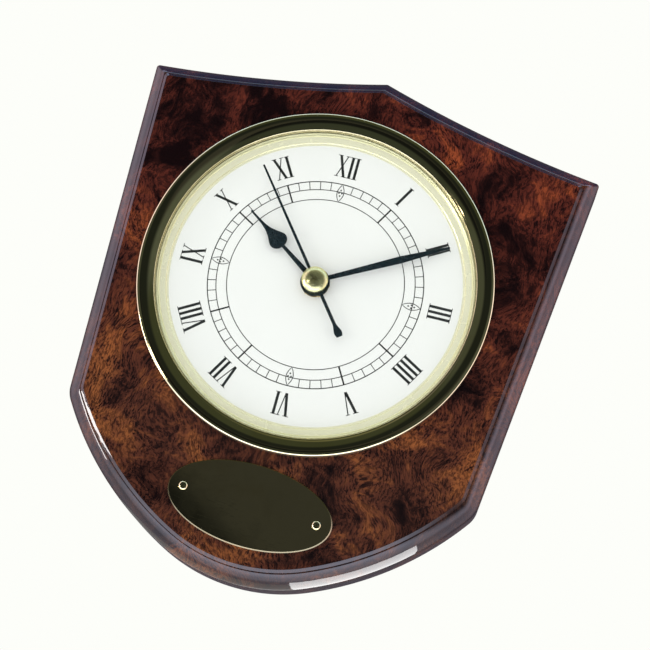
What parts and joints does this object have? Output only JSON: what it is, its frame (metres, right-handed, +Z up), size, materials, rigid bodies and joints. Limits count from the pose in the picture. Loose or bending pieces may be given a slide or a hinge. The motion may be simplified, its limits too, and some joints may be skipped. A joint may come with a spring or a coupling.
{
  "type": "shield clock",
  "caption": "Shield-shaped lacquered wood wall plaque with a round brass-rimmed quartz clock insert under domed glass and a blank oval brass plate.",
  "frame": {"origin": "centre of the hanger plate's entry hole, on the flat back plane that lies on the wall", "axes": "+Z up the board, -Y out of the dial towards the room, +X to the right seen from the front"},
  "size_m": [0.1736, 0.0294, 0.1961],
  "materials": {
    "lacquered_wood": "high-gloss lacquer over dark red-brown burl veneer",
    "brass": "polished and lacquered",
    "hanger_brass": "brushed",
    "screw_steel": "zinc plated",
    "clock_glass": "clear, polished",
    "gasket_rubber": "matte black",
    "gilt_ring": "gilt, satin polished",
    "dial_enamel": "off-white enamel, satin",
    "cup_plastic": "moulded black",
    "spring_steel": "bright spring wire",
    "plain_brass": "turned",
    "case_plastic": "fine moulded texture",
    "train_plastic": "natural acetal",
    "circuit_green": "green solder mask",
    "bright_steel": "nickel plated",
    "chip_resin": "black potting resin",
    "bobbin_plastic": "moulded",
    "copper_wire": "enamelled copper wire",
    "soft_iron": "stamped",
    "battery_jacket": "plain dark jacket",
    "magnet_grey": "sintered",
    "wheel_plastic": "natural acetal",
    "knob_plastic": "moulded",
    "hand_enamel": "dark green-black enamel, satin"
  },
  "bodies": {
    "board": {"shield_board": "lacquered_wood", "name_plate": "brass", "plate_pins": "brass", "hanger_plate": "hanger_brass", "hanger_screws": "screw_steel"},
    "insert": {"bezel": "brass", "glass": "clock_glass", "glass_gasket": "gasket_rubber", "rehaut_ring": "gilt_ring", "dial": "dial_enamel", "insert_cup": "cup_plastic", "retaining_ring": "spring_steel", "grip_ring": "gasket_rubber", "rubber_washer": "gasket_rubber", "bush_washer": "plain_brass", "bush_nut": "plain_brass", "threaded_bush": "plain_brass", "front_case": "case_plastic", "back_cover": "case_plastic", "case_screws": "screw_steel", "train_plate": "train_plastic", "train_bridge": "train_plastic", "train_screws": "screw_steel", "circuit_board": "circuit_green", "quartz_crystal": "bright_steel", "timing_chip": "chip_resin", "coil_bobbin": "bobbin_plastic", "coil_winding": "copper_wire", "stator": "soft_iron", "positive_contact": "bright_steel", "negative_contact": "bright_steel"},
    "battery": {"battery": "battery_jacket"},
    "minute_group": {"cannon_pinion": "plain_brass", "clutch_spring": "spring_steel", "minute_hand": "hand_enamel"},
    "motion_group": {"minute_wheel": "wheel_plastic", "setting_knob": "knob_plastic"},
    "hour_group": {"hour_wheel": "wheel_plastic", "hour_hand": "hand_enamel"},
    "second_group": {"second_wheel": "wheel_plastic", "second_hand": "hand_enamel", "centre_cap": "brass"},
    "rotor_group": {"rotor_magnet": "magnet_grey", "rotor_pinion": "wheel_plastic"},
    "intermediate_group": {"intermediate_wheel": "wheel_plastic"},
    "third_group": {"third_wheel": "wheel_plastic"},
    "centre_group": {"centre_wheel": "wheel_plastic"}
  },
  "joints": [
    {"name": "insert_pull", "type": "slide", "parent": "board", "child": "insert", "axis": [0, -1, 0], "range_m": [0, 0.03]},
    {"name": "battery_slide", "type": "slide", "parent": "insert", "child": "battery", "axis": [0, 1, 0], "range_m": [0, 0.018]},
    {"name": "minute_turn", "type": "hinge", "parent": "insert", "child": "minute_group", "pos_m": [-0.0025, -0.0165, -0.0675], "axis": [0, 1, 0], "continuous": true},
    {"name": "setting_turn", "type": "hinge", "parent": "insert", "child": "motion_group", "pos_m": [0.00829, -0.0165, -0.06801], "axis": [0, 1, 0], "continuous": true},
    {"name": "hour_turn", "type": "hinge", "parent": "insert", "child": "hour_group", "pos_m": [-0.0025, -0.0165, -0.0675], "axis": [0, 1, 0], "continuous": true},
    {"name": "second_turn", "type": "hinge", "parent": "insert", "child": "second_group", "pos_m": [-0.0025, -0.0165, -0.0675], "axis": [0, 1, 0], "continuous": true},
    {"name": "rotor_turn", "type": "hinge", "parent": "insert", "child": "rotor_group", "pos_m": [0.01004, -0.0165, -0.05984], "axis": [0, 1, 0], "continuous": true},
    {"name": "intermediate_turn", "type": "hinge", "parent": "insert", "child": "intermediate_group", "pos_m": [0.0032, -0.0165, -0.06133], "axis": [0, 1, 0], "continuous": true},
    {"name": "third_turn", "type": "hinge", "parent": "insert", "child": "third_group", "pos_m": [-0.00972, -0.0165, -0.06371], "axis": [0, 1, 0], "continuous": true},
    {"name": "centre_turn", "type": "hinge", "parent": "insert", "child": "centre_group", "pos_m": [-0.0025, -0.0165, -0.0675], "axis": [0, 1, 0], "continuous": true}
  ],
  "couplings": [
    {"joint": "setting_turn", "follows": "minute_turn", "ratio": -0.33333},
    {"joint": "hour_turn", "follows": "minute_turn", "ratio": 0.083333},
    {"joint": "intermediate_turn", "follows": "second_turn", "ratio": -5},
    {"joint": "rotor_turn", "follows": "second_turn", "ratio": 30},
    {"joint": "third_turn", "follows": "second_turn", "ratio": -0.13333},
    {"joint": "centre_turn", "follows": "second_turn", "ratio": 0.016667}
  ]
}
